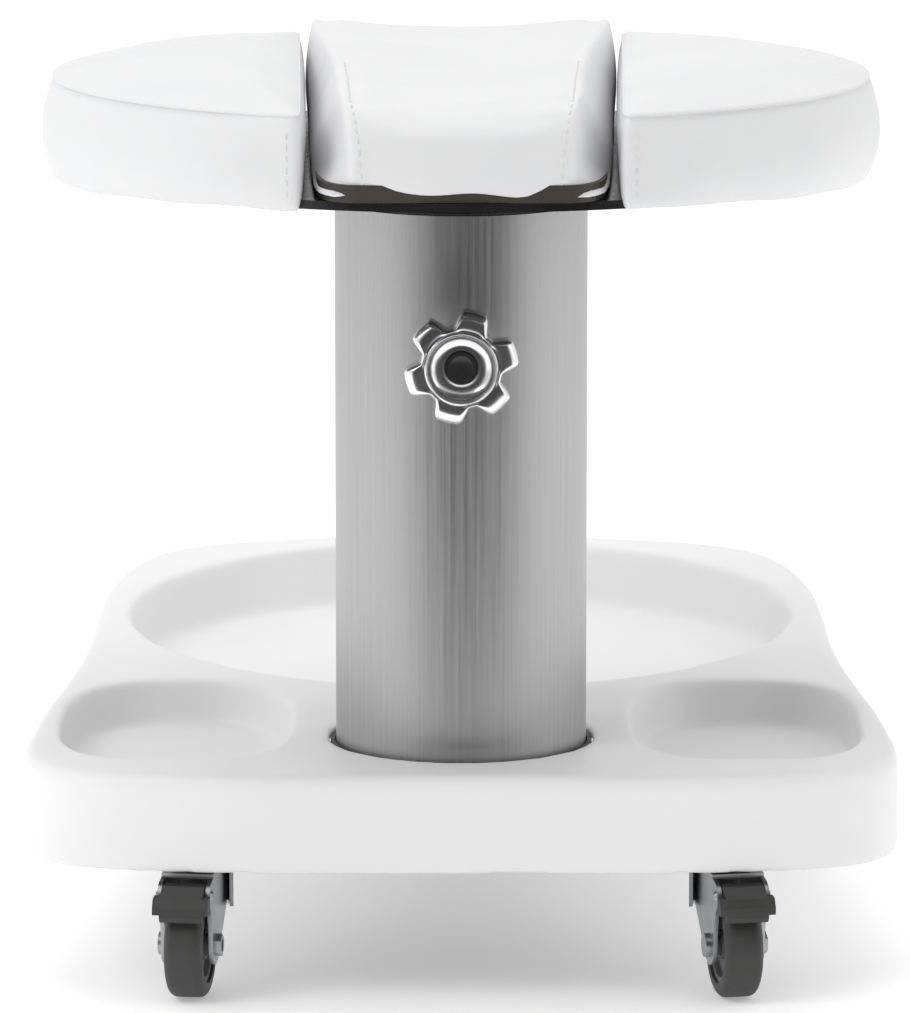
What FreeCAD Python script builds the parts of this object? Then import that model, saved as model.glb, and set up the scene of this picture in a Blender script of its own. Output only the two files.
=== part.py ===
"""Rolling pedicure stool: round three-piece upholstered seat on a telescopic brushed column,
standing on a moulded tray base with two small trays, one large round bowl and four braked swivel castors.
Frame: +Z up, millimetres, floor at z = 0, the knob faces -Y. The pieces are drawn about the column axis and
saved moved by ROW_Y, which puts the origin under the middle of the stool's bounding box.
"""
import FreeCAD, Part
import math
import os

V = FreeCAD.Vector
os.makedirs("parts", exist_ok=True)

# ---------------------------------------------------------------- driving dimensions
PAD_FRONT_Y = -188.0
BASE_BOTTOM_Z = 62.3
DECK_Z = 109.5            # front deck, flat up to DECK_FLAT_Y
DECK_FLAT_Y = 35.0
REAR_Z = 124.0            # rim height at the rear
FRONT_Y, REAR_Y = -98.0, 463.0
SHELL_T = 4.0
BOWL_R, BOWL_Y, BOWL_FLOOR_Z = 174.0, 274.0, 90.0
TRAY_X, TRAY_Y, TRAY_A, TRAY_B, TRAY_FLOOR_Z = 138.0, 31.0, 57.0, 88.0, 90.0
TUBE_R, TUBE_T, TUBE_TOP_Z = 60.0, 2.0, 368.0
INNER_R, INNER_T = 50.0, 2.5
ROW_Y = -(PAD_FRONT_Y + REAR_Y) / 2
FRAME_Z, FRAME_T = 72.0, 6.0
FLANGE_R, FLANGE_T = 78.0, 8.0
KNOB_Z, KNOB_R, KNOB_VALLEY_R = 301.0, 27.0, 19.3
KNOB_BACK_Y, KNOB_THICK = -77.0, 15.0
KNOB_PHASE = 16.0
PLATE_Z, PLATE_T, PLATE_R = 386.5, 4.0, 187.0
BOARD_Z, BOARD_T, BOARD_R = 390.7, 8.0, 184.0
CUSHION_R, CUSHION_BOTTOM_Z, CUSHION_TOP_Z = 196.5, 385.0, 432.0
WHEEL_R, WHEEL_W, TRAIL = 25.0, 18.0, 22.0
# castor name: (x, y, heading of the trail in degrees from -Y, positive towards +X)
CASTORS = {
    "front_left": (-124.5, -57.0, -8.0),
    "front_right": (124.5, -57.0, 11.0),
    "rear_left": (-112.0, 385.0, 24.0),
    "rear_right": (112.0, 385.0, -10.0),
}
# half outline of the base, from the middle of the front edge to the middle of the rear edge
OUTLINE = [(0, -98), (60, -98), (110, -97.2), (146, -93), (174, -87), (192, -76.5), (203, -60), (207.6, -38), (208.4, -10),
           (207.2, 20), (205, 52), (200.3, 95), (195.2, 138), (191.5, 182), (189.6, 227), (189, 273), (187.4, 316),
           (183.4, 352), (176.0, 387), (162.5, 417), (140, 437), (104, 450), (56, 460), (0, 463)]


def mirrored(points):
    right = [V(x, y, 0) for x, y in points]
    left = [V(-x, y, 0) for x, y in reversed(points[1:-1])]
    return right + left


def closed_spline(points, z=0.0):
    c = Part.BSplineCurve()
    c.interpolate(Points=[V(p.x, p.y, z) for p in points], PeriodicFlag=True)
    return Part.Wire([c.toShape()])


def prism(wire, height):
    return Part.Face(wire).extrude(V(0, 0, height))


def offset_outline(points, d):
    """Points of the closed outline moved inwards by d along their normals."""
    pts = mirrored(points)
    out = []
    n = len(pts)
    for i, p in enumerate(pts):
        t = pts[(i + 1) % n] - pts[i - 1]
        nrm = V(-t.y, t.x, 0)
        nrm.normalize()
        out.append(p + nrm * d)
    return out


def superellipse(cx, cy, a, b, n=3.0, z=0.0, count=28):
    pts = []
    for k in range(count):
        t = 2 * math.pi * k / count
        c, s = math.cos(t), math.sin(t)
        pts.append(V(cx + a * math.copysign(abs(c) ** (2 / n), c), cy + b * math.copysign(abs(s) ** (2 / n), s), z))
    return closed_spline(pts, z)


def cyl(r, h, pos, axis=V(0, 0, 1)):
    return Part.makeCylinder(r, h, pos, axis)


def tube(ro, ri, h, pos, axis=V(0, 0, 1)):
    a = axis * 1.0
    a.normalize()
    return cyl(ro, h, pos, axis).cut(cyl(ri, h + 2, pos - a, axis))


def box(x0, x1, y0, y1, z0, z1):
    return Part.makeBox(x1 - x0, y1 - y0, z1 - z0, V(x0, y0, z0))


def hexagon(af, h, pos, axis=V(0, 0, 1)):
    r = af / math.sqrt(3)
    pts = [V(r * math.cos(math.radians(60 * k)), r * math.sin(math.radians(60 * k)), 0) for k in range(7)]
    s = Part.Face(Part.makePolygon(pts)).extrude(V(0, 0, h))
    s.Placement = FreeCAD.Placement(pos, FreeCAD.Rotation(V(0, 0, 1), axis))
    return s


def save(shapes, name):
    shapes = shapes if isinstance(shapes, (list, tuple)) else [shapes]
    solids = []
    for s in shapes:
        solids += s.Solids
    solids = [s.copy() for s in solids]
    for s in solids:
        assert s.isValid() and s.Volume > 0, name
        s.translate(V(0, ROW_Y, 0))
    shape = solids[0] if len(solids) == 1 else Part.makeCompound(solids)
    shape.exportStep(f"parts/{name}.step")
    print(f"{name:28s} solids {len(solids):3d}  volume {sum(s.Volume for s in solids):12.1f}")


# ---------------------------------------------------------------- base shell
def top_cutter(drop):
    """Everything above the top surface lowered by drop; the surface is flat over the deck and then climbs to the rear."""
    z0, z1 = DECK_Z - drop, REAR_Z - drop
    slope = (REAR_Z - DECK_Z) / (REAR_Y - DECK_FLAT_Y)
    far = z0 + slope * (600 - DECK_FLAT_Y)
    pts = [V(-300, -200, z0), V(-300, DECK_FLAT_Y, z0), V(-300, 600, far), V(-300, 600, 260), V(-300, -200, 260), V(-300, -200, z0)]
    return Part.Face(Part.makePolygon(pts)).extrude(V(600, 0, 0))


def tray(side, grow, floor):
    w0 = superellipse(side * TRAY_X, TRAY_Y, TRAY_A - 6 + grow, TRAY_B - 6 + grow, 2.9, floor)
    w1 = superellipse(side * TRAY_X, TRAY_Y, TRAY_A + grow, TRAY_B + grow, 2.9, 116.0)
    return Part.makeLoft([w0, w1], True, True)


def bowl(grow, floor):
    return Part.makeCone(BOWL_R - 10 + grow, BOWL_R + grow, 126.0 - floor, V(0, BOWL_Y, floor))


outer = prism(closed_spline(mirrored(OUTLINE), BASE_BOTTOM_Z), 80).cut(top_cutter(0))
top_edges = [e for e in outer.Edges if e.BoundBox.ZMin > 100 and e.Length > 60]
try:
    rounded = outer.makeFillet(6.0, top_edges)
    if rounded.isValid() and abs(rounded.Volume / outer.Volume - 1) < 0.03:
        outer = rounded
    else:
        print("top fillet left out")
except Exception as err:  # the fillet is cosmetic
    print("top fillet left out:", err)
inner_pts = offset_outline(OUTLINE, SHELL_T)
cavity = prism(closed_spline(inner_pts, BASE_BOTTOM_Z - 5), 90).cut(top_cutter(SHELL_T + 2.0))
for side in (-1, 1):
    cavity = cavity.cut(tray(side, SHELL_T, TRAY_FLOOR_Z - SHELL_T))
cavity = cavity.cut(bowl(SHELL_T, BOWL_FLOOR_Z - SHELL_T))
cavity = cavity.Solids[0] if len(cavity.Solids) == 1 else max(cavity.Solids, key=lambda s: s.Volume)
shell = outer.cut(cavity)
for side in (-1, 1):
    shell = shell.cut(tray(side, 0, TRAY_FLOOR_Z))
shell = shell.cut(bowl(0, BOWL_FLOOR_Z))
shell = shell.cut(cyl(63.0, 60, V(0, 0, 80)))
SCREWS = [(-82, -60), (82, -60), (-60, 405), (60, 405)]
for x, y in SCREWS:
    top = DECK_Z - 3 if y < 0 else BOWL_FLOOR_Z - 1
    shell = shell.fuse(tube(6.0, 2.0, top - (FRAME_Z + FRAME_T), V(x, y, FRAME_Z + FRAME_T)))
shell = max(shell.Solids, key=lambda s: s.Volume)
save(shell, "base_shell")

# collar that finishes the hole in the deck round the column
save(tube(62.8, 60.6, 13.0, V(0, 0, DECK_Z - 15.0)), "column_collar")

# ---------------------------------------------------------------- steel frame, column flange and outer column
frame = box(-156, 156, -83, -29, FRAME_Z, FRAME_Z + FRAME_T)
frame = frame.fuse(box(-142, 142, 358, 412, FRAME_Z, FRAME_Z + FRAME_T))
frame = frame.fuse(box(-34, 34, -30, 380, FRAME_Z, FRAME_Z + FRAME_T))
frame = frame.fuse(cyl(84, FRAME_T, V(0, 0, FRAME_Z))).removeSplitter()
FLANGE_BOLTS = [(69.5 * math.cos(math.radians(a)), 69.5 * math.sin(math.radians(a))) for a in (35, 145, 215, 325)]
for x, y in FLANGE_BOLTS:
    frame = frame.cut(cyl(4.2, 20, V(x, y, FRAME_Z - 5)))
for x, y in SCREWS:
    frame = frame.cut(cyl(2.4, 20, V(x, y, FRAME_Z - 5)))
CASTOR_HOLES = [(sx * 20, sy * 16) for sx in (-1, 1) for sy in (-1, 1)]
for cx, cy, h in CASTORS.values():
    for dx, dy in CASTOR_HOLES:
        frame = frame.cut(cyl(3.2, 20, V(cx + dx, cy + dy, FRAME_Z - 5)))
save(frame, "base_frame")

flange = tube(FLANGE_R, INNER_R + 3, FLANGE_T, V(0, 0, FRAME_Z + FRAME_T))
for x, y in FLANGE_BOLTS:
    flange = flange.cut(cyl(4.2, 20, V(x, y, FRAME_Z + FRAME_T - 5)))
save(flange, "column_flange")
top_of_flange = FRAME_Z + FRAME_T + FLANGE_T
bolts = []
for x, y in FLANGE_BOLTS:
    b = cyl(4.0, FRAME_T + FLANGE_T + 5.0, V(x, y, FRAME_Z - 5.0)).fuse(hexagon(13, 5.0, V(x, y, top_of_flange)))
    bolts.append(b.removeSplitter())
    bolts.append(hexagon(13, 5.0, V(x, y, FRAME_Z - 5.0)).cut(cyl(4.0, 8, V(x, y, FRAME_Z - 6))))
save(bolts, "column_bolts")
save([cyl(2.0, 16.0, V(x, y, FRAME_Z - 2)).fuse(cyl(4.2, 2.4, V(x, y, FRAME_Z - 2.4))).removeSplitter()
      if y < 0 else cyl(2.0, 10.0, V(x, y, FRAME_Z - 2)).fuse(cyl(4.2, 2.4, V(x, y, FRAME_Z - 2.4))).removeSplitter()
      for x, y in SCREWS], "shell_screws")

outer_tube = tube(TUBE_R, TUBE_R - TUBE_T, TUBE_TOP_Z - top_of_flange, V(0, 0, top_of_flange))
outer_tube = outer_tube.cut(cyl(9.8, 30, V(0, -TUBE_R - 10, KNOB_Z), V(0, 1, 0)))
outer_tube = outer_tube.fuse(tube(TUBE_R, TUBE_R - TUBE_T, 3.0, V(0, 0, top_of_flange))).removeSplitter()
save(outer_tube, "column_tube")

# guide rings: the upper one sits in the mouth of the outer tube, the lower one rides on the inner tube
upper = tube(TUBE_R - TUBE_T, INNER_R + 0.08, 34.0, V(0, 0, TUBE_TOP_Z - 34.0))
upper = upper.fuse(tube(TUBE_R - 0.6, INNER_R + 0.08, 1.2, V(0, 0, TUBE_TOP_Z))).removeSplitter()
save(upper, "upper_guide_ring")
save(tube(TUBE_R - TUBE_T - 0.08, INNER_R, 26.0, V(0, 0, 104.0)), "lower_guide_ring")

# ---------------------------------------------------------------- inner column and swivel hub
inner = tube(INNER_R, INNER_R - INNER_T, 369.6 - 100.0, V(0, 0, 100.0))
inner = inner.fuse(box(-3, 3, INNER_R - INNER_T - 4, INNER_R - 1, 100, 340).cut(cyl(INNER_R - INNER_T - 3, 300, V(0, 0, 90)))).removeSplitter()
save(inner, "inner_column")
HUB_Z = 369.6
lower_hub = cyl(57.0, 4.0, V(0, 0, HUB_Z)).fuse(cyl(INNER_R - INNER_T, 18.0, V(0, 0, HUB_Z - 18.0)))
lower_hub = lower_hub.cut(box(-4, 4, INNER_R - INNER_T - 5, INNER_R, HUB_Z - 20, HUB_Z))
lower_hub = lower_hub.fuse(cyl(9.0, 18.4, V(0, 0, HUB_Z))).removeSplitter()
BALL_Z, BALL_R, RACE_R = 375.5, 3.0, 36.0
race = Part.makeTorus(RACE_R, BALL_R + 0.05, V(0, 0, BALL_Z), V(0, 0, 1))
lower_hub = lower_hub.cut(race)
save(lower_hub, "swivel_hub_lower")
save([Part.makeSphere(BALL_R, V(RACE_R * math.cos(math.radians(a)), RACE_R * math.sin(math.radians(a)), BALL_Z))
      for a in range(0, 360, 30)], "swivel_balls")
upper_hub = cyl(64.0, 9.1, V(0, 0, 377.4)).cut(race).cut(cyl(9.06, 20, V(0, 0, 370)))
HUB_BOLTS = [(54 * math.cos(math.radians(a)), 54 * math.sin(math.radians(a))) for a in (45, 135, 225, 315)]
for x, y in HUB_BOLTS:
    upper_hub = upper_hub.cut(cyl(3.2, 20, V(x, y, 370)))
save(upper_hub, "swivel_hub_upper")
save(tube(15.0, 9.0, 2.6, V(0, 0, 386.9)).cut(box(-1.2, 1.2, 8, 16, 383, 392)), "hub_retaining_ring")

# ---------------------------------------------------------------- clamp knob
BOSS_Y = -TUBE_R - 7.0
boss = cyl(9.8, 14.0, V(0, BOSS_Y, KNOB_Z), V(0, 1, 0)).cut(cyl(6.05, 30, V(0, BOSS_Y - 5, KNOB_Z), V(0, 1, 0)))
boss = boss.cut(cyl(INNER_R + 1.2, 60, V(0, 0, KNOB_Z - 30)))
save(boss, "clamp_boss")
stud = cyl(6.0, 24.0, V(0, KNOB_BACK_Y - 2.0, KNOB_Z), V(0, 1, 0)).fuse(cyl(3.0, 2.6, V(0, KNOB_BACK_Y + 22.0, KNOB_Z), V(0, 1, 0)))
save(stud.removeSplitter(), "clamp_stud")
shoe = cyl(5.5, 6.0, V(0, -INNER_R - 5.0, KNOB_Z), V(0, 1, 0)).cut(cyl(3.02, 2.85, V(0, -INNER_R - 5.01, KNOB_Z), V(0, 1, 0)))
shoe = shoe.cut(cyl(INNER_R + 0.05, 60, V(0, 0, KNOB_Z - 30)))
save(shoe, "clamp_shoe")

knob = cyl(KNOB_R, KNOB_THICK, V(0, 0, 0))
for k in range(6):
    a = math.radians(KNOB_PHASE + 30 + 60 * k)
    knob = knob.cut(cyl(11.2, KNOB_THICK + 2, V((KNOB_VALLEY_R + 11.2) * math.cos(a), (KNOB_VALLEY_R + 11.2) * math.sin(a), -1)))
vertical = [e for e in knob.Edges if abs(e.BoundBox.ZLength - KNOB_THICK) < 0.01 and e.BoundBox.XLength < 0.01]
knob = knob.makeFillet(1.6, vertical)
knob = knob.makeFillet(1.3, [e for e in knob.Edges if e.BoundBox.ZMin > KNOB_THICK - 0.01])
ring_pts = [V(16.8, 0, KNOB_THICK + 1), V(16.8, 0, KNOB_THICK - 0.8), V(15.6, 0, KNOB_THICK - 1.0), V(14.4, 0, KNOB_THICK - 3.6),
            V(9.6, 0, KNOB_THICK - 5.4), V(7.4, 0, KNOB_THICK - 5.4), V(7.4, 0, KNOB_THICK - 9.0), V(0, 0, KNOB_THICK - 9.0),
            V(0, 0, KNOB_THICK + 1), V(16.8, 0, KNOB_THICK + 1)]
dish = Part.Face(Part.makePolygon(ring_pts)).revolve(V(0, 0, 0), V(0, 0, 1), 360)
bead = Part.makeTorus(16.4, 0.9, V(0, 0, KNOB_THICK - 0.7), V(0, 0, 1))
knob = knob.cut(dish).fuse(bead).removeSplitter()
neck = cyl(10.0, 4.5, V(0, 0, -4.5))
knob = knob.fuse(neck).cut(cyl(6.0, 2.0 + 4.5, V(0, 0, -4.5))).removeSplitter()
# local +Z of the knob points along -Y, local +X stays +X
turn = FreeCAD.Placement(V(0, KNOB_BACK_Y, KNOB_Z), FreeCAD.Rotation(V(1, 0, 0), 90))
knob.Placement = turn
save(knob, "star_knob")
cap = cyl(7.36, 5.0, V(0, 0, KNOB_THICK - 9.0))
cap = cap.cut(Part.makeSphere(16, V(0, 0, KNOB_THICK - 4.0 + 15.0)))
cap.Placement = turn
save(cap, "knob_cap")

# ---------------------------------------------------------------- seat plate, boards and cushions
plate = cyl(PLATE_R, PLATE_T, V(0, 0, PLATE_Z)).cut(cyl(17, 20, V(0, 0, PLATE_Z - 5)))
for x, y in HUB_BOLTS:
    plate = plate.cut(cyl(3.2, 20, V(x, y, PLATE_Z - 5)))
SEAT_BOLTS = [(sx * 118, y) for sx in (-1, 1) for y in (-92, 92)] + [(0, -128), (0, 128)] + [(sx * 158, 0) for sx in (-1, 1)]
for x, y in SEAT_BOLTS:
    plate = plate.cut(cyl(3.2, 20, V(x, y, PLATE_Z - 5)))
save(plate, "seat_plate")
hb = []
for x, y in HUB_BOLTS:
    b = cyl(3.0, 15.2, V(x, y, 375.2)).fuse(hexagon(10, 2.2, V(x, y, 375.2)))
    hb.append(b.removeSplitter())
save(hb, "hub_bolts")

INNER_F, INNER_B = 70.0, 80.0    # half gap between the wings at the front and at the back


def wing(side, r, inset, z0, z1):
    """A disc segment of radius r outside the line that runs from INNER_F at the front to INNER_B at the back."""
    d = cyl(r, z1 - z0, V(0, 0, z0))
    xf, xb = INNER_F + inset, INNER_B + inset
    slope = (xb - xf) / 400.0
    pts = [V(xf, -210, z0 - 1), V(260, -210, z0 - 1), V(260, 210, z0 - 1), V(xb + slope * 10, 210, z0 - 1), V(xf, -210, z0 - 1)]
    half = Part.Face(Part.makePolygon(pts)).extrude(V(0, 0, z1 - z0 + 2))
    w = d.common(half)
    return w if side > 0 else w.mirror(V(0, 0, 0), V(1, 0, 0))


def seat_bolt(x, y):
    return cyl(3.0, 9.0, V(x, y, PLATE_Z - 1)).fuse(cyl(6.0, 2.4, V(x, y, PLATE_Z - 2.4))).removeSplitter()


for side, name in ((-1, "left"), (1, "right")):
    board = wing(side, BOARD_R, 3.0, BOARD_Z, BOARD_Z + BOARD_T)
    for x, y in SEAT_BOLTS:
        if x * side > 0:
            board = board.cut(cyl(3.05, 6.0, V(x, y, BOARD_Z - 1)))
    save(board, f"{name}_wing_board")
    cushion = wing(side, CUSHION_R, 0.0, CUSHION_BOTTOM_Z, CUSHION_TOP_Z)
    cushion = cushion.cut(wing(side, BOARD_R + 0.2, 2.8, BOARD_Z - 0.1, BOARD_Z + BOARD_T + 0.1))
    cushion = cushion.cut(cyl(PLATE_R + 0.4, 12, V(0, 0, BOARD_Z - 12)))
    rim = [e for e in cushion.Edges if e.BoundBox.ZMin > CUSHION_TOP_Z - 0.01]
    try:
        soft = cushion.makeFillet(9.0, rim)
        cushion = soft if soft.isValid() else cushion
    except Exception as err:
        print("cushion fillet left out:", err)
    save(cushion, f"{name}_cushion")


def keystone(d, z0, z1):
    """The middle pad's plan, shrunk by d: narrow at the front, wide at the back."""
    half = [(50 - d, PAD_FRONT_Y + d), (59 - d, -183 + d * 0.7), (64 - d, -175 + d * 0.4), (67.2 - d, -160), (69 - d, -130), (70.5 - d, -95), (72.4 - d, -40),
            (73.6 - d, 40), (75.2 - d, 120), (76 - d, 170 - d), (66 - d, 181 - d)]
    pts = [V(x, y, z0) for x, y in half]
    rear = V(0, 189 - d, z0)
    left = [V(-p.x, p.y, z0) for p in reversed(pts)]
    side_r = Part.BSplineCurve(); side_r.interpolate(pts[:-1])
    side_l = Part.BSplineCurve(); side_l.interpolate(left[1:])
    edges = [side_r.toShape(), Part.makeLine(pts[-2], pts[-1]), Part.Arc(pts[-1], rear, left[0]).toShape(),
             Part.makeLine(left[0], left[1]), side_l.toShape(), Part.makeLine(left[-1], pts[0])]
    return Part.Face(Part.Wire(edges)).extrude(V(0, 0, z1 - z0))


mid_board = keystone(2.5, BOARD_Z, BOARD_Z + BOARD_T)
for x, y in SEAT_BOLTS:
    if x == 0:
        mid_board = mid_board.cut(cyl(3.05, 6.0, V(x, y, BOARD_Z - 1)))
save(mid_board, "centre_board")
pad = keystone(0.0, BOARD_Z + 3.0, 436.5).cut(keystone(2.3, BOARD_Z - 1, BOARD_Z + BOARD_T + 0.1))
SAG = 7.0
R_SADDLE = (72.0 ** 2 + SAG ** 2) / (2 * SAG)
pad = pad.cut(cyl(R_SADDLE, 500, V(0, -250, 436.5 - SAG + R_SADDLE), V(0, 1, 0)))
save(pad, "centre_cushion")
save([seat_bolt(x, y) for x, y in SEAT_BOLTS], "seat_bolts")


# ---------------------------------------------------------------- castors
def place(shape, cx, cy, heading):
    """Castor parts are drawn with the trail along -Y and the swivel axis on Z."""
    shape = shape.copy()
    shape.rotate(V(0, 0, 0), V(0, 0, 1), heading)
    shape.translate(V(cx, cy, 0))
    return shape


def side_plate(points, x0, t):
    """A plate whose outline is given in (trail distance, z); trail distance runs along -Y."""
    pts = [V(x0, -u, z) for u, z in points]
    c = Part.BSplineCurve()
    c.interpolate(Points=pts, PeriodicFlag=True)
    return Part.Face(Part.Wire([c.toShape()])).extrude(V(t, 0, 0))


def poly_plate(points, x0, t):
    pts = [V(x0, -u, z) for u, z in points]
    return Part.Face(Part.makePolygon(pts + [pts[0]])).extrude(V(t, 0, 0))


PIN_U, PIN_Z = 36.0, 51.5
LEG = [(-16, 60.5), (0, 60.5), (16, 60.5), (30, 58.5), (39.5, 55), (41, 50), (37, 45), (33.5, 38), (32, 30), (31, 21), (26, 16.4), (19, 16.4),
       (12.5, 20), (6, 27), (-4, 36), (-12, 44), (-17, 52)]
plates, pins, cbolts, races = [], [], [], []
for name, (cx, cy, heading) in CASTORS.items():
    # fixed half: top plate with its upper race, bolted to the frame
    top = box(-29, 29, -24, 24, 69.5, 72.0)
    top = top.makeFillet(5.0, [e for e in top.Edges if abs(e.BoundBox.ZLength - 2.5) < 0.01])
    for dx, dy in CASTOR_HOLES:
        top = top.cut(cyl(3.2, 10, V(dx, dy, 66)))
    top = top.fuse(Part.makeCone(20.5, 17.5, 4.6, V(0, 0, 64.9))).cut(cyl(4.0, 20, V(0, 0, 60))).cut(cyl(6.0, 4.0, V(0, 0, 69.5)))
    top.translate(V(cx, cy, 0))
    save(top.removeSplitter(), f"castor_{name}_plate")
    pin = cyl(4.0, 12.6, V(cx, cy, 57.0)).fuse(cyl(6.6, 2.2, V(cx, cy, 55.0))).fuse(cyl(6.0, 0.9, V(cx, cy, 69.5)))
    pins.append(pin.cut(cyl(4.0, 12.5, V(cx, cy, 100))).removeSplitter())
    for dx, dy in CASTOR_HOLES:
        b = cyl(3.0, FRAME_T + 2.5 + 5, V(cx + dx, cy + dy, 69.5)).fuse(cyl(5.4, 2.2, V(cx + dx, cy + dy, 67.3)))
        cbolts.append(b.removeSplitter())
        cbolts.append(hexagon(10, 3.2, V(cx + dx, cy + dy, FRAME_Z + FRAME_T)).cut(cyl(3.0, 8, V(cx + dx, cy + dy, FRAME_Z + FRAME_T - 1))))
    # swivelling half
    head = Part.makeCone(17.0, 20.5, 4.2, V(0, 0, 60.2)).cut(cyl(4.06, 20, V(0, 0, 50)))
    left = side_plate(LEG, -12.4, 2.0)
    right = side_plate(LEG, 10.4, 2.0)
    web = tube(16.6, 14.8, 24.0, V(0, 0, 37.5)).common(box(-20, 20, 1.5, 20, 38, 61.0))
    web = web.cut(cyl(WHEEL_R + 2.5, 60, V(-30, -TRAIL, WHEEL_R), V(1, 0, 0)))
    crown = cyl(16.6, 2.4, V(0, 0, 58.6)).fuse(box(-12.4, 12.4, -30, 0, 58.0, 60.4).cut(box(-20, 20, -40, -29, 50, 70)))
    crown = crown.common(box(-30, 30, -29, 30, 50, 70)).cut(cyl(7.0, 20, V(0, 0, 50)).common(box(-10, 10, -10, 10, 50, 58.6)))
    crown = crown.cut(cyl(4.06, 20, V(0, 0, 50)))
    fork = left.fuse(right).fuse(web).fuse(crown).fuse(head)
    fork = fork.cut(cyl(6.9, 3.0, V(0, 0, 54.5))).cut(cyl(4.06, 20, V(0, 0, 50)))
    fork = fork.cut(cyl(3.0, 60, V(-30, -TRAIL, WHEEL_R), V(1, 0, 0)))
    fork = fork.cut(cyl(1.6, 60, V(-30, -PIN_U, PIN_Z), V(1, 0, 0)))
    fork = fork.cut(cyl(WHEEL_R + 1.2, 19.6, V(-9.8, -TRAIL, WHEEL_R), V(1, 0, 0)))
    fork = max(fork.removeSplitter().Solids, key=lambda s: s.Volume)
    save(place(fork, cx, cy, heading), f"castor_{name}_fork")
    # wheel: hub with its ring, and tyre
    hub = cyl(18.0, 15.0, V(-7.5, -TRAIL, WHEEL_R), V(1, 0, 0))
    for s in (-1, 1):
        groove = tube(15.6, 7.0, 2.6, V(7.5 - 2.6 if s > 0 else -7.5, -TRAIL, WHEEL_R), V(1, 0, 0))
        hub = hub.cut(groove)
        hub = hub.fuse(cyl(5.0, 2.2, V(7.5 if s > 0 else -9.7, -TRAIL, WHEEL_R), V(1, 0, 0)))
    hub = hub.cut(cyl(3.05, 40, V(-20, -TRAIL, WHEEL_R), V(1, 0, 0))).removeSplitter()
    save(place(hub, cx, cy, heading), f"castor_{name}_hub")
    tyre = cyl(WHEEL_R, WHEEL_W, V(-WHEEL_W / 2, -TRAIL, WHEEL_R), V(1, 0, 0))
    tyre = tyre.makeFillet(4.0, [e for e in tyre.Edges if abs(e.BoundBox.ZLength - 2 * WHEEL_R) < 0.01])
    tyre = tyre.cut(cyl(18.0, 60, V(-30, -TRAIL, WHEEL_R), V(1, 0, 0)))
    save(place(tyre, cx, cy, heading), f"castor_{name}_tyre")
    # axle bolt with its nut
    axle = cyl(3.0, 26.4, V(-12.4, -TRAIL, WHEEL_R), V(1, 0, 0)).fuse(cyl(5.6, 2.4, V(-14.8, -TRAIL, WHEEL_R), V(1, 0, 0)))
    axle = axle.removeSplitter()
    nut = hexagon(9.5, 2.8, V(12.4, -TRAIL, WHEEL_R), V(1, 0, 0)).cut(cyl(3.0, 20, V(5, -TRAIL, WHEEL_R), V(1, 0, 0)))
    save([place(axle, cx, cy, heading), place(nut, cx, cy, heading)], f"castor_{name}_axle")
    # brake pedal on its cross pin
    PEDAL = [(30.0, 56.2), (33.5, 57.0), (40.5, 57.0), (47.5, 52.5), (50.0, 48.5), (50.0, 43.8), (48.2, 41.2), (45.0, 41.2), (44.6, 45.5), (41.5, 47.8),
             (36.0, 48.6), (30.0, 51.6)]
    pedal = poly_plate(PEDAL, -10.0, 20.0)
    pedal = pedal.fuse(poly_plate([(42.6, 53.0), (47.5, 52.5), (50.0, 48.5), (50.0, 45.0), (43.4, 45.0)], -13.2, 26.4)).removeSplitter()
    pedal = pedal.cut(cyl(1.68, 40, V(-20, -PIN_U, PIN_Z), V(1, 0, 0)))
    save(place(pedal, cx, cy, heading), f"castor_{name}_brake_pedal")
    bpin = cyl(1.6, 26.8, V(-13.4, -PIN_U, PIN_Z), V(1, 0, 0))
    for s in (-1, 1):
        bpin = bpin.fuse(Part.makeCone(2.8 if s > 0 else 1.8, 1.8 if s > 0 else 2.8, 1.2, V(12.4 if s > 0 else -13.6, -PIN_U, PIN_Z), V(1, 0, 0)))
    races.append((name, place(bpin.removeSplitter(), cx, cy, heading)))
for name, s in races:
    save(s, f"castor_{name}_brake_pin")
save(pins, "castor_kingpins")
save(cbolts, "castor_bolts")
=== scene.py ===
import math
import bmesh
import bpy
from mathutils import Matrix, Vector
from mathutils.bvhtree import BVHTree


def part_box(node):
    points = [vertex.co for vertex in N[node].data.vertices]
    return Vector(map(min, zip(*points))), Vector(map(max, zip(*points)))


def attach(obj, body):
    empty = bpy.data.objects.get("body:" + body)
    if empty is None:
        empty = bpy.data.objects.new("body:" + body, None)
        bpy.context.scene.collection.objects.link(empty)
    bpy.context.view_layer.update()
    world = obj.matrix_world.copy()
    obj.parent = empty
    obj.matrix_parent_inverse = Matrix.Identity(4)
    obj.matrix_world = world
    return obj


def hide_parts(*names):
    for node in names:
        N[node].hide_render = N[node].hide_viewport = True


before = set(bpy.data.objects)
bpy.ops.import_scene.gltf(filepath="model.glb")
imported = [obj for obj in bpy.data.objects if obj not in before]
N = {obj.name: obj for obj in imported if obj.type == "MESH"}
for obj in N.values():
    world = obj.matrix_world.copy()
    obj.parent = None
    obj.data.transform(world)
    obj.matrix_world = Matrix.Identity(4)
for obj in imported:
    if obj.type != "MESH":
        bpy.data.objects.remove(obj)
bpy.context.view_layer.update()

ROW = -0.1375            # the column axis in the row frame


# ------------------------------------------------------------------ camera, light, floor
cam_data = bpy.data.cameras.new("camera")
cam_data.lens = 6812 * 36 / 1013
cam_data.sensor_width = 36
cam_data.clip_end = 50
cam = bpy.data.objects.new("camera", cam_data)
cam.location = (-0.00293, -3.2044 + ROW, 0.7873)
cam.rotation_euler = (math.radians(90 - 10.033), 0, 0)
bpy.context.scene.collection.objects.link(cam)
bpy.context.scene.camera = cam


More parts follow.
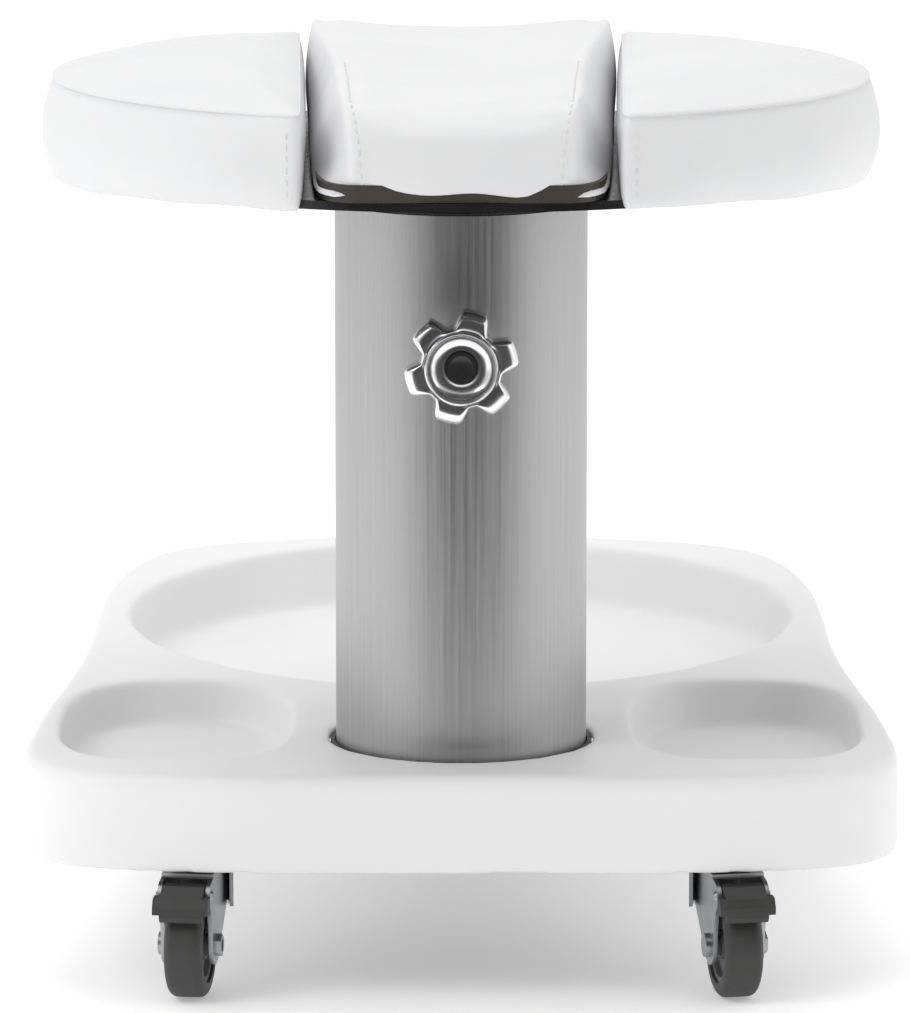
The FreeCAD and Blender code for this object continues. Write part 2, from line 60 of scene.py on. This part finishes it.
def area(name, loc, target, size, size_y, power):
    d = bpy.data.lights.new(name, "AREA")
    d.shape = "RECTANGLE"
    d.size, d.size_y, d.energy = size, size_y, power
    o = bpy.data.objects.new(name, d)
    o.location = loc
    o.rotation_euler = (Vector(target) - Vector(loc)).to_track_quat("-Z", "Y").to_euler()
    bpy.context.scene.collection.objects.link(o)
    return o


area("key_upper_left", (-1.7, -1.5, 2.1), (0, 0, 0.25), 1.3, 1.1, 17)
area("fill_right", (2.0, -0.6, 1.1), (0, 0, 0.25), 0.9, 1.4, 2)
area("top", (-0.2, 0.3, 2.6), (0, 0, 0.1), 2.0, 2.0, 12)
bpy.context.scene.view_settings.view_transform = "Standard"

world = bpy.data.worlds.new("studio")
bpy.context.scene.world = world
world.use_nodes = True
wt = world.node_tree
wt.nodes.clear()
w_out = wt.nodes.new("ShaderNodeOutputWorld")
w_bg = wt.nodes.new("ShaderNodeBackground")
w_tc = wt.nodes.new("ShaderNodeTexCoord")
w_sep = wt.nodes.new("ShaderNodeSeparateXYZ")
w_map = wt.nodes.new("ShaderNodeMapRange")
w_map.interpolation_type = "SMOOTHSTEP"
w_map.inputs["From Min"].default_value = -1.0
w_map.inputs["From Max"].default_value = -0.2
w_map.inputs["To Min"].default_value = 0.42
w_map.inputs["To Max"].default_value = 0.92
wt.links.new(w_tc.outputs["Generated"], w_sep.inputs[0])
wt.links.new(w_sep.outputs["Y"], w_map.inputs["Value"])
wt.links.new(w_map.outputs["Result"], w_bg.inputs["Strength"])
w_bg.inputs["Color"].default_value = (1, 1, 1, 1)
wt.links.new(w_bg.outputs[0], w_out.inputs[0])


# ------------------------------------------------------------------ materials
def new_mat(name, base, rough, metallic=0.0, **sockets):
    m = bpy.data.materials.new(name)
    m.use_nodes = True
    nt = m.node_tree
    b = nt.nodes["Principled BSDF"]
    b.inputs["Base Color"].default_value = (*base, 1)
    b.inputs["Roughness"].default_value = rough
    b.inputs["Metallic"].default_value = metallic
    for k, v in sockets.items():
        b.inputs[k.replace("_", " ")].default_value = v
    return m, nt, b


def coords(nt, scale=(1, 1, 1)):
    tc = nt.nodes.new("ShaderNodeTexCoord")
    mp = nt.nodes.new("ShaderNodeMapping")
    mp.inputs["Scale"].default_value = scale
    nt.links.new(tc.outputs["Object"], mp.inputs["Vector"])
    return mp.outputs["Vector"]


def noise(nt, vec, scale, detail=4, rough=0.5):
    n = nt.nodes.new("ShaderNodeTexNoise")
    n.inputs["Scale"].default_value = scale
    n.inputs["Detail"].default_value = detail
    n.inputs["Roughness"].default_value = rough
    nt.links.new(vec, n.inputs["Vector"])
    return n.outputs["Fac"]


def remap(nt, src, lo, hi, a=0.3, b=0.7):
    r = nt.nodes.new("ShaderNodeMapRange")
    r.inputs["From Min"].default_value = a
    r.inputs["From Max"].default_value = b
    r.inputs["To Min"].default_value = lo
    r.inputs["To Max"].default_value = hi
    nt.links.new(src, r.inputs["Value"])
    return r.outputs["Result"]


def tint(nt, bsdf, src, c0, c1, a=0.3, b=0.7):
    r = nt.nodes.new("ShaderNodeValToRGB")
    r.color_ramp.elements[0].position = a
    r.color_ramp.elements[0].color = (*c0, 1)
    r.color_ramp.elements[1].position = b
    r.color_ramp.elements[1].color = (*c1, 1)
    nt.links.new(src, r.inputs["Fac"])
    nt.links.new(r.outputs["Color"], bsdf.inputs["Base Color"])


def bump(nt, bsdf, src, strength, distance, below=None):
    b = nt.nodes.new("ShaderNodeBump")
    b.inputs["Strength"].default_value = strength
    b.inputs["Distance"].default_value = distance
    nt.links.new(src, b.inputs["Height"])
    if below is not None:
        nt.links.new(below, b.inputs["Normal"])
    nt.links.new(b.outputs["Normal"], bsdf.inputs["Normal"])
    return b.outputs["Normal"]


def vinyl():
    m, nt, b = new_mat("white_vinyl", (0.8, 0.8, 0.8), 0.45, Specular_IOR_Level=0.45, Coat_Weight=0.08, Coat_Roughness=0.35)
    v = coords(nt)
    vo = nt.nodes.new("ShaderNodeTexVoronoi")
    vo.feature = "DISTANCE_TO_EDGE"
    vo.inputs["Scale"].default_value = 850
    nt.links.new(v, vo.inputs["Vector"])
    grain = remap(nt, vo.outputs["Distance"], 0, 1, 0.0, 0.25)
    n1 = bump(nt, b, noise(nt, v, 38, 3), 0.10, 0.002)
    bump(nt, b, grain, 0.16, 0.00018, n1)
    nt.links.new(remap(nt, noise(nt, v, 420, 3), 0.38, 0.52), b.inputs["Roughness"])
    tint(nt, b, noise(nt, v, 11, 4), (0.735, 0.738, 0.748), (0.772, 0.773, 0.78))
    return m


def plastic():
    m, nt, b = new_mat("white_plastic", (0.8, 0.8, 0.8), 0.42, Specular_IOR_Level=0.4)
    v = coords(nt)
    bump(nt, b, noise(nt, v, 1500, 2), 0.05, 0.0002)
    nt.links.new(remap(nt, noise(nt, v, 26, 4), 0.36, 0.48), b.inputs["Roughness"])
    tint(nt, b, noise(nt, v, 8, 3), (0.83, 0.83, 0.83), (0.86, 0.86, 0.86))
    return m


def brushed(name, base, scale=(1, 1, 1), lo=0.26, hi=0.42):
    m, nt, b = new_mat(name, (base, base, base), 0.34, 1.0, Anisotropic=0.35)
    v = coords(nt, scale)
    fine = noise(nt, v, 1.0, 5, 0.65)
    nt.links.new(remap(nt, fine, lo, hi), b.inputs["Roughness"])
    tint(nt, b, fine, (base * 0.86,) * 3, (base * 1.1, base * 1.1, base * 1.105))
    bump(nt, b, fine, 0.14, 0.0002)
    return m


def simple(name, base, rough, metallic=0.0, scale=900, strength=0.08, spread=0.12, **k):
    m, nt, b = new_mat(name, base, rough, metallic, **k)
    v = coords(nt)
    f = noise(nt, v, scale, 3)
    bump(nt, b, f, strength, 0.0003)
    nt.links.new(remap(nt, noise(nt, v, scale / 12, 3), max(0.02, rough - spread / 2), rough + spread / 2), b.inputs["Roughness"])
    tint(nt, b, noise(nt, v, scale / 20, 3), tuple(c * 0.9 for c in base), tuple(min(1, c * 1.08) for c in base))
    return m


MAT = {
    "vinyl": vinyl(),
    "plastic": plastic(),
    "column": brushed("brushed_column", 0.50, (900, 900, 7), 0.40, 0.56),
    "inner": brushed("brushed_inner", 0.6, (700, 700, 7), 0.2, 0.32),
    "chrome": simple("chrome_knob", (0.88, 0.88, 0.89), 0.22, 1.0, 600, 0.01, 0.04),
    "cap": simple("dark_cap", (0.025, 0.025, 0.027), 0.22, 0.0, 700, 0.03),
    "black": simple("black_powder_coat", (0.014, 0.014, 0.015), 0.24, 0.0, 1600, 0.18),
    "zinc": simple("zinc_steel", (0.42, 0.43, 0.44), 0.33, 1.0, 500, 0.06),
    "tyre": simple("grey_tyre", (0.045, 0.043, 0.042), 0.55, 0.0, 1200, 0.12),
    "hub": simple("hub_plastic", (0.2, 0.2, 0.2), 0.45, 0.0, 900, 0.08),
    "pedal": simple("pedal_plastic", (0.036, 0.035, 0.034), 0.5, 0.0, 1400, 0.14),
    # near-black colour for the column collar, which sits just below the deck in the gap round the column
    "collar_black": simple("dark_collar", (0.02, 0.02, 0.02), 0.6, 0.0, 1200, 0.1),
    "nylon": simple("black_nylon", (0.03, 0.03, 0.03), 0.5, 0.0, 1200, 0.08),
    "thread": simple("white_thread", (0.72, 0.72, 0.72), 0.7, 0.0, 2600, 0.3),
    "wood": simple("dark_board", (0.05, 0.04, 0.03), 0.6, 0.0, 400, 0.2),
}
for name, o in N.items():
    if name == "column_tube": k = "column"
    elif name == "inner_column": k = "inner"
    elif name in ("upper_guide_ring", "lower_guide_ring"): k = "nylon"
    elif name == "star_knob": k = "chrome"
    elif name == "knob_cap": k = "cap"
    elif name in ("seat_plate", "swivel_hub_upper", "swivel_hub_lower", "base_frame", "column_flange"): k = "black"
    elif name.endswith("_board"): k = "wood"
    elif name == "column_collar": k = "collar_black"
    elif name.endswith("_cushion"): k = "vinyl"
    elif name == "base_shell": k = "plastic"
    elif name.endswith("_tyre"): k = "tyre"
    elif name.startswith("castor_") and name.endswith("_hub"): k = "hub"
    elif name.endswith("_brake_pedal"): k = "pedal"
    else: k = "zinc"
    o.data.materials.clear()
    o.data.materials.append(MAT[k])


# ------------------------------------------------------------------ mesh helpers
def make(name, verts, faces, mat):
    me = bpy.data.meshes.new(name)
    me.from_pydata([tuple(v) for v in verts], [], faces)
    me.validate()
    o = bpy.data.objects.new(name, me)
    bpy.context.scene.collection.objects.link(o)
    o.data.materials.append(mat)
    bm = bmesh.new()
    bm.from_mesh(me)
    bmesh.ops.recalc_face_normals(bm, faces=bm.faces)
    bm.to_mesh(me)
    bm.free()
    for p in me.polygons:
        p.use_smooth = True
    return o


def apply_all(o):
    dg = bpy.context.evaluated_depsgraph_get()
    dg.update()
    me = bpy.data.meshes.new_from_object(o.evaluated_get(dg))
    o.modifiers.clear()
    old = o.data
    o.data = me
    bpy.data.meshes.remove(old)
    for p in o.data.polygons:
        p.use_smooth = True


def puff(o, pinned, pressure=3.0, cap=0.004, frames=16):
    """Inflates the cover between its seams: the seam points are pinned, and no point moves more than cap."""
    rest = [v.co.copy() for v in o.data.vertices]
    g = o.vertex_groups.new(name="seams")
    g.add(pinned, 1.0, "REPLACE")
    c = o.modifiers.new("cloth", "CLOTH")
    c.settings.effector_weights.gravity = 0
    c.settings.use_pressure = True
    c.settings.uniform_pressure_force = pressure
    c.settings.vertex_group_mass = "seams"
    c.settings.tension_stiffness = 18
    c.settings.compression_stiffness = 12
    c.settings.bending_stiffness = 1.2
    c.settings.quality = 6
    c.point_cache.frame_start, c.point_cache.frame_end = 1, frames
    sc = bpy.context.scene
    for f in range(1, frames + 1):
        sc.frame_set(f)
    apply_all(o)
    for v, r in zip(o.data.vertices, rest):
        d = v.co - r
        if d.length > cap:
            v.co = r + d * (cap / d.length)
    o.vertex_groups.clear()
    sc.frame_set(1)


def lerp(a, b, t):
    return a + (b - a) * t


def interp(table, x):
    if x <= table[0][0]: return table[0][1]
    for (x0, y0), (x1, y1) in zip(table, table[1:]):
        if x <= x1:
            t = (x - x0) / (x1 - x0)
            t = t * t * (3 - 2 * t) * 0.35 + t * 0.65
            return lerp(y0, y1, t)
    return table[-1][1]


def stitches(name, path, body, bvh, length=0.0032, gap=0.0021, r=0.00042, lift=0.00012):
    """Short thread dashes along a path laid on a surface."""
    verts, faces = [], []
    dist = [0.0]
    for a, b in zip(path, path[1:]):
        dist.append(dist[-1] + (b - a).length)

    def at(s):
        for i in range(len(path) - 1):
            if s <= dist[i + 1]:
                return path[i].lerp(path[i + 1], (s - dist[i]) / max(1e-9, dist[i + 1] - dist[i]))
        return path[-1].copy()

    s = gap
    while s + length < dist[-1]:
        ring_base = len(verts)
        hits = []
        for k in range(5):
            p = at(s + length * k / 4)
            h = bvh.find_nearest(p)
            hits.append((h[0], h[1]))
        for k, (p, n) in enumerate(hits):
            q = hits[min(k + 1, 4)][0] - hits[max(k - 1, 0)][0]
            t = q.normalized()
            side = t.cross(n).normalized()
            rr = r * (0.45 if k in (0, 4) else 1.0)
            c = p + n * (lift - (r * 0.7 if k in (0, 4) else 0))
            for j in range(6):
                a = 2 * math.pi * j / 6
                verts.append(c + (side * math.cos(a) + n * math.sin(a)) * rr)
        for k in range(4):
            for j in range(6):
                a, b = ring_base + k * 6 + j, ring_base + k * 6 + (j + 1) % 6
                faces.append((a, b, b + 6, a + 6))
        faces.append(tuple(ring_base + j for j in range(5, -1, -1)))
        faces.append(tuple(ring_base + 24 + j for j in range(6)))
        s += length + gap
    o = make(name, verts, faces, MAT["thread"])
    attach(o, body)
    return o


def surface(o):
    bm = bmesh.new()
    bm.from_mesh(o.data)
    t = BVHTree.FromBMesh(bm)
    bm.free()
    return t


# ------------------------------------------------------------------ base shell: the moulded edges softened
src = N["base_shell"]
shell = bpy.data.objects.new("moulded_base", src.data.copy())
bpy.context.scene.collection.objects.link(shell)
rm = shell.modifiers.new("remesh", "REMESH")
rm.mode = "VOXEL"
rm.voxel_size = 0.0021
sm = shell.modifiers.new("smooth", "SMOOTH")
sm.factor = 0.5
sm.iterations = 14
apply_all(shell)
shell.data.materials.clear()
shell.data.materials.append(MAT["plastic"])
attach(shell, "base")
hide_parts("base_shell")


# ------------------------------------------------------------------ wings
Z_BOT, Z_SEAM, Z_TOP = 0.3856, 0.4288, 0.4345
R_SEAM = 0.1935


def wing_outline(side, n_arc=150, n_line=90):
    """Closed plan outline: an arc and a nearly straight inner edge, with small rounded corners, as 2D points about the column axis."""
    def inner_x(y):
        return 0.0705 + (y + 0.21) / 0.42 * 0.0095
    raw = []
    y0 = -math.sqrt(R_SEAM ** 2 - inner_x(-0.18) ** 2)
    y1 = math.sqrt(R_SEAM ** 2 - inner_x(0.175) ** 2)
    a0, a1 = math.atan2(y0, inner_x(y0)), math.atan2(y1, inner_x(y1))
    for k in range(n_arc):
        a = lerp(a0, a1, k / n_arc)
        raw.append(Vector((R_SEAM * math.cos(a), R_SEAM * math.sin(a))))
    for k in range(n_line):
        y = lerp(y1, y0, k / n_line)
        raw.append(Vector((inner_x(y), y)))
    for _ in range(6):      # rounds the two corners
        raw = [(raw[i - 1] + raw[i] * 2 + raw[(i + 1) % len(raw)]) / 4 for i in range(len(raw))]
    return [Vector((p.x * side, p.y)) for p in raw]


def normals2(pts, side):
    out = []
    for i in range(len(pts)):
        t = pts[(i + 1) % len(pts)] - pts[i - 1]
        n = Vector((t.y, -t.x)) * side
        out.append(n.normalized())
    return out


def wing(side, name, node):
    pts = wing_outline(side)
    nrm = normals2(pts, side)
    n = len(pts)
    c = Vector((side * 0.128, 0.0))
    arc = [max(0.0, min(1.0, (abs(p.x) - 0.081) / 0.03)) for p in pts]      # 1 on the outer wall, 0 on the inner one
    # (offset on the outer wall, offset on the inner wall, height) from the bottom upwards
    wall = [(-0.010, -0.006, Z_BOT + 0.0012), (-0.004, -0.0025, Z_BOT), (-0.0005, -0.0008, Z_BOT + 0.0016), (0.0012, -0.0002, Z_BOT + 0.0055)]
    for k in range(1, 12):
        t = k / 12
        wall.append((0.0012 + 0.0034 * math.sin(math.pi * t ** 0.8) - 0.0012 * t * t, 0.0, lerp(Z_BOT + 0.0055, Z_SEAM - 0.0030, t)))
    wall.append((-0.0005, -0.0006, Z_SEAM - 0.0022))
    wall.append((-0.0022, -0.0018, Z_SEAM - 0.0010))
    seam_row = len(wall)
    wall.append((-0.0006, -0.0010, Z_SEAM))
    wall.append((-0.0012, -0.0016, Z_SEAM + 0.0010))
    verts, faces = [], []
    for oo, oi, z in wall:
        for i in range(n):
            off = lerp(oi, oo, arc[i])
            p = pts[i] + nrm[i] * off
            # a soft hem: the lower edge wanders a little
            dz = 0.0007 * math.sin(p.x * 83 + side) * math.sin(p.y * 61) * max(0.0, 1 - (z - Z_BOT) / 0.02)
            # the hem hangs a little lower round the outer side than at the gap
            drop = 0.0058 * max(0.0, 1 - (z - Z_BOT) / 0.026) * max(0.0, (abs(p.x) - 0.10) / 0.095) ** 1.5
            verts.append((p.x, p.y + ROW, z + dz - drop))
    rows = len(wall)
    ts = [0.03, 0.07, 0.12, 0.18, 0.25, 0.33, 0.42, 0.52, 0.62, 0.72, 0.82, 0.91, 0.97]
    for t in ts:
        for i in range(n):
            p = c.lerp(pts[i] - nrm[i] * 0.0014, 1 - t)
            crown = 1 - (1 - min(1, t / 0.55)) ** 2.4
            z = Z_SEAM + 0.0010 + (Z_TOP - Z_SEAM - 0.0010) * crown
            z += 0.0006 * math.sin(p.x * 47 + 1.3 * side) * math.sin(p.y * 39 + 0.6) * min(1, t * 4)
            verts.append((p.x, p.y + ROW, z))
    total = rows + len(ts)
    for r in range(total - 1):
        for i in range(n):
            j = (i + 1) % n
            faces.append((r * n + i, r * n + j, (r + 1) * n + j, (r + 1) * n + i))
    verts.append((c.x, c.y + ROW, Z_TOP))
    ic = len(verts) - 1
    for i in range(n):
        faces.append(((total - 1) * n + i, (total - 1) * n + (i + 1) % n, ic))
    verts.append((c.x, c.y + ROW, 0.3995))
    ib = len(verts) - 1
    for i in range(n):      # underside, closed above the board
        verts.append((c.x + (pts[i].x - c.x) * 0.9, c.y + (pts[i].y - c.y) * 0.9 + ROW, 0.3995))
    k0 = ib + 1
    for i in range(n):
        j = (i + 1) % n
        faces.append((i, k0 + i, k0 + j, j))
        faces.append((k0 + i, ib, k0 + j))
    o = make(name, verts, faces, MAT["vinyl"])
    pins = [seam_row * n + i for i in range(n)] + [r * n + i for r in range(4) for i in range(n)] + list(range(ib, len(verts)))
    corner = [i for i in range(n) if 0.02 < arc[i] < 0.6]
    pins += [r * n + i for r in range(rows) for i in corner]
    puff(o, pins, pressure=2.4, cap=0.0026)
    ss = o.modifiers.new("subdiv", "SUBSURF")
    ss.levels = ss.render_levels = 1
    apply_all(o)
    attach(o, "seat")
    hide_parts(node)
    bvh = surface(o)
    # thread beside the seam on the inner wall's front corner
    front = min(range(n), key=lambda i: (pts[i] - Vector((side * 0.0715, -0.2))).length)
    corner_pt = pts[front]
    path = [Vector((corner_pt.x + side * 0.0045, corner_pt.y - 0.002 + ROW, z)) for z in [lerp(Z_BOT + 0.004, Z_SEAM - 0.003, k / 20) for k in range(21)]]
    stitches(name + "_corner_stitches", path, "seat", bvh)
    # raised welt along the seam
    loop = [Vector((pts[i].x + nrm[i].x * -0.0002, pts[i].y + nrm[i].y * -0.0002 + ROW, Z_SEAM)) for i in range(n)]
    wv, wf = [], []
    for i in range(n):
        t = (loop[(i + 1) % n] - loop[i - 1]).normalized()
        out = Vector((nrm[i].x, nrm[i].y, 0))
        h = bvh.find_nearest(loop[i])[0]
        for j in range(8):
            a = 2 * math.pi * j / 8
            wv.append(h + (out * math.cos(a) + Vector((0, 0, 1)) * math.sin(a)) * 0.00055)
    for i in range(n):
        for j in range(8):
            a, b = i * 8 + j, i * 8 + (j + 1) % 8
            c2, d = ((i + 1) % n) * 8 + (j + 1) % 8, ((i + 1) % n) * 8 + j
            wf.append((a, b, c2, d))
    welt = make(name + "_seam_welt", wv, wf, MAT["vinyl"])
    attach(welt, "seat")
    return o


wing(-1, "left_wing_pad", "left_cushion")
wing(1, "right_wing_pad", "right_cushion")


# ------------------------------------------------------------------ centre pad
HALF = [(-0.190, 0.0512), (-0.165, 0.0535), (-0.120, 0.0555), (-0.050, 0.0580), (0.0, 0.0608), (0.050, 0.0645),
        (0.100, 0.0690), (0.150, 0.0732), (0.182, 0.0735)]
HEM = [(-0.190, 0.0500), (-0.1862, 0.0570), (-0.180, 0.0620), (-0.170, 0.0655), (-0.150, 0.0675), (-0.100, 0.0695),
       (-0.040, 0.0715), (0.040, 0.0735), (0.120, 0.0750), (0.170, 0.0755), (0.182, 0.0735)]
PAD_HEM, PAD_TOP, FRONT_R = 0.3935, 0.4375, 0.024


def pad_profile():
    """The side profile as (y, z, kind) from the front hem over the top to the rear hem; kind is 0 on the front, 1 on the top."""
    out = []
    for k in range(12):
        t = k / 12
        out.append((-0.1862 - 0.0016 * math.sin(math.pi * t), lerp(PAD_HEM, PAD_TOP - FRONT_R, t), 0.0))
    for k in range(14):
        a = math.radians(90 * k / 13)
        out.append((-0.1862 + FRONT_R * (1 - math.cos(a)), PAD_TOP - FRONT_R + FRONT_R * math.sin(a), k / 13))
    for k in range(1, 60):
        y = lerp(-0.1862 + FRONT_R, 0.166, k / 60)
        out.append((y, PAD_TOP, 1.0))
    for k in range(10):
        a = math.radians(90 * k / 9)
        out.append((0.166 + 0.016 * math.sin(a), PAD_TOP - 0.016 + 0.016 * math.cos(a), 1 - k / 9))
    for k in range(1, 9):
        out.append((0.182, lerp(PAD_TOP - 0.016, PAD_HEM, k / 8), 0.0))
    return out


def centre_pad():
    prof = pad_profile()
    m = len(prof)
    nu = 41
    verts, faces = [], []
    for (y, z, top) in prof:
        hw = interp(HALF, y)
        hw -= 0.0028 * (1 - top) * (1 - (z - PAD_HEM) / (PAD_TOP - PAD_HEM)) * (1 if y < 0 else 0)
        for j in range(nu):
            u = -1 + 2 * j / (nu - 1)
            dip = 0.0064 * (1 - u * u) ** 0.9 * top
            hollow = 0.0013 * math.exp(-((abs(u) - 0.9) / 0.07) ** 2)
            # hem: slightly scalloped in front, lower on the right
            hem = 0.0
            if y < -0.15 and z < PAD_HEM + 0.02:
                k = 1 - (z - PAD_HEM) / 0.02
                hem = (-0.0012 * u + 0.0008 * math.sin(u * 7.5 + 0.7)) * k
            wr = 0.0005 * math.sin(y * 95 + u * 3) * math.sin(u * 5 + 1) * top
            yy = y
            if y < -0.15 and top < 1:
                yy += 0.0030 * u * u * (1 - 0.5 * top)      # the front bows forward in the middle
            verts.append((u * hw, yy + ROW, z - dip - hollow * top + hem + wr))
    for i in range(m - 1):
        for j in range(nu - 1):
            a = i * nu + j
            faces.append((a, a + 1, a + nu + 1, a + nu))
    # side panels, from the seam down and out to the wider hem
    rows = 10
    y_first, y_last = prof[0][0], prof[-1][0]
    side_index = {}
    for side, j in ((-1, 0), (1, nu - 1)):
        for i in range(m):
            side_index[(side, i, 0)] = i * nu + j
        for r in range(1, rows + 1):
            t = r / rows
            for i in range(m):
                s = Vector(verts[i * nu + j])
                yb = lerp(y_first, y_last, (i / (m - 1)) ** 0.85)
                b = Vector((side * interp(HEM, yb), yb + ROW, PAD_HEM))
                p = s.lerp(b, t)
                p.x += side * 0.0024 * math.sin(math.pi * t)
                side_index[(side, i, r)] = len(verts)
                verts.append((p.x, p.y, p.z))
        for i in range(m - 1):
            for r in range(rows):
                q = (side_index[(side, i, r)], side_index[(side, i + 1, r)], side_index[(side, i + 1, r + 1)], side_index[(side, i, r + 1)])
                faces.append(q if side < 0 else q[::-1])
    # underside, closed above the board
    lo = [verts[j] for j in range(nu)]
    hem_loop = list(range(nu)) + [side_index[(1, i, rows)] for i in range(m)] + [(m - 1) * nu + j for j in range(nu - 1, -1, -1)] + [side_index[(-1, i, rows)] for i in range(m - 1, -1, -1)]
    cv = len(verts)
    inner = []
    for k in hem_loop:
        v = Vector(verts[k])
        inner.append(len(verts))
        verts.append((v.x * 0.93, (v.y - ROW) * 0.965 + ROW, 0.4015))
    ic = len(verts)
    verts.append((0, ROW, 0.4015))
    L = len(hem_loop)
    for k in range(L):
        k2 = (k + 1) % L
        faces.append((hem_loop[k], hem_loop[k2], inner[k2], inner[k]))
        faces.append((inner[k], inner[k2], ic))
    o = make("centre_pad", verts, faces, MAT["vinyl"])
    bm = bmesh.new()
    bm.from_mesh(o.data)
    bmesh.ops.remove_doubles(bm, verts=bm.verts, dist=0.00002)
    bmesh.ops.recalc_face_normals(bm, faces=bm.faces)
    bm.to_mesh(o.data)
    bm.free()
    pins = []
    for v in o.data.vertices:
        y = v.co.y - ROW
        hw = interp(HALF, y)
        low = v.co.z < PAD_HEM + 0.004
        under = 0.4005 < v.co.z < 0.4025 and abs(v.co.x) < interp(HEM, y) * 0.935 and y < 0.178
        seam = abs(abs(v.co.x) - hw) < 0.0012
        if low or under or seam:
            pins.append(v.index)
    puff(o, pins, pressure=2.0, cap=0.0022)
    ss = o.modifiers.new("subdiv", "SUBSURF")
    ss.levels = ss.render_levels = 1
    apply_all(o)
    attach(o, "seat")
    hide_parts("centre_cushion")
    bvh = surface(o)
    for side, label in ((-1, "left"), (1, "right")):
        path = []
        for (y, z, top) in prof[:50]:
            hw = interp(HALF, y) - 0.0040
            hw -= 0.0028 * (1 - top) * (1 - (z - PAD_HEM) / (PAD_TOP - PAD_HEM))
            path.append(Vector((side * hw, y + ROW, z + 0.0006)))
        stitches(f"centre_pad_{label}_stitches", path, "seat", bvh)
    return o


centre_pad()

# ------------------------------------------------------------------ star knob: domed lobes, a turned dish and a raised ring
def star_knob():
    n = 264
    phase = math.radians(16)

    def rim(a):
        """Radius of the six-lobed outline at angle a: flat-ended lobes and round valleys."""
        k = (a - phase) / math.radians(60)
        d = abs(k - round(k)) * 2          # 0 on a lobe, 1 in a valley
        t = max(0.0, min(1.0, (d - 0.36) / 0.5))
        t = t * t * (3 - 2 * t)
        return 0.0266 - 0.0074 * t

    y_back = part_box("star_knob")[1].y - 0.0045
    zc = 0.301
    profile = []    # (kind, value, height): "f" is a fraction from the ring out to the rim, "r" a fixed radius
    profile += [("r", 0.0060, -0.0045), ("r", 0.0098, -0.0045), ("r", 0.0100, -0.0042), ("r", 0.0100, 0.0)]
    profile += [("f", t, 0.0004 * (1 - t)) for t in (0.1, 0.4, 0.7, 0.93)]
    profile += [("f", 1.0, h) for h in (0.0012, 0.0040, 0.0070, 0.0096)]
    profile += [("f", t, h) for t, h in ((0.975, 0.0112), (0.92, 0.0124), (0.82, 0.0134), (0.68, 0.0142), (0.5, 0.0147), (0.3, 0.0149), (0.12, 0.0146), (0.0, 0.0142))]
    profile += [("r", 0.0168, 0.0146), ("r", 0.0165, 0.0151), ("r", 0.0161, 0.0151), ("r", 0.0158, 0.0145), ("r", 0.0155, 0.0138),
                ("r", 0.0146, 0.0120), ("r", 0.0126, 0.0106), ("r", 0.0104, 0.0097), ("r", 0.0090, 0.0096), ("r", 0.0082, 0.0100), ("r", 0.0077, 0.0100), ("r", 0.0074, 0.0094), ("r", 0.0074, 0.0062), ("r", 0.0060, 0.0062)]
    verts, faces = [], []
    for kind, v, h in profile:
        for i in range(n):
            a = 2 * math.pi * i / n
            r = v if kind == "r" else lerp(0.0172, rim(a), v)
            verts.append((r * math.cos(a), y_back - h, zc + r * math.sin(a)))
    m = len(profile)
    for k in range(m):
        k2 = (k + 1) % m
        for i in range(n):
            j = (i + 1) % n
            faces.append((k * n + i, k * n + j, k2 * n + j, k2 * n + i))
    o = make("star_knob_chrome", verts, faces, MAT["chrome"])
    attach(o, "knob")
    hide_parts("star_knob")


star_knob()

# ------------------------------------------------------------------ dark flag in the studio, seen only in reflections
flag_mat, flag_nt, flag_b = new_mat("flag_black", (0.03, 0.03, 0.03), 0.9)
tint(flag_nt, flag_b, noise(flag_nt, coords(flag_nt), 2, 2), (0.02, 0.02, 0.02), (0.05, 0.05, 0.05))
flag = make("studio_flag", [(-0.42, -0.72, 0.0), (0.62, -0.72, 0.0), (0.62, -0.72, 0.62), (-0.42, -0.72, 0.62)], [(0, 1, 2, 3)], flag_mat)
flag.visible_camera = flag.visible_diffuse = flag.visible_shadow = flag.visible_transmission = False

# ------------------------------------------------------------------ floor
bm = bmesh.new()
bmesh.ops.create_grid(bm, x_segments=2, y_segments=2, size=8)
me = bpy.data.meshes.new("floor")
bm.to_mesh(me)
bm.free()
floor = bpy.data.objects.new("floor", me)
floor.location = (0, 0, -0.0005)
bpy.context.scene.collection.objects.link(floor)
floor_mat, floor_nt, floor_b = new_mat("floor_white", (0.9, 0.9, 0.9), 0.75, Emission_Strength=0.30)
floor_b.inputs["Emission Color"].default_value = (1, 1, 1, 1)
tint(floor_nt, floor_b, noise(floor_nt, coords(floor_nt), 3, 2), (0.88, 0.88, 0.88), (0.91, 0.91, 0.91))
floor.data.materials.append(floor_mat)
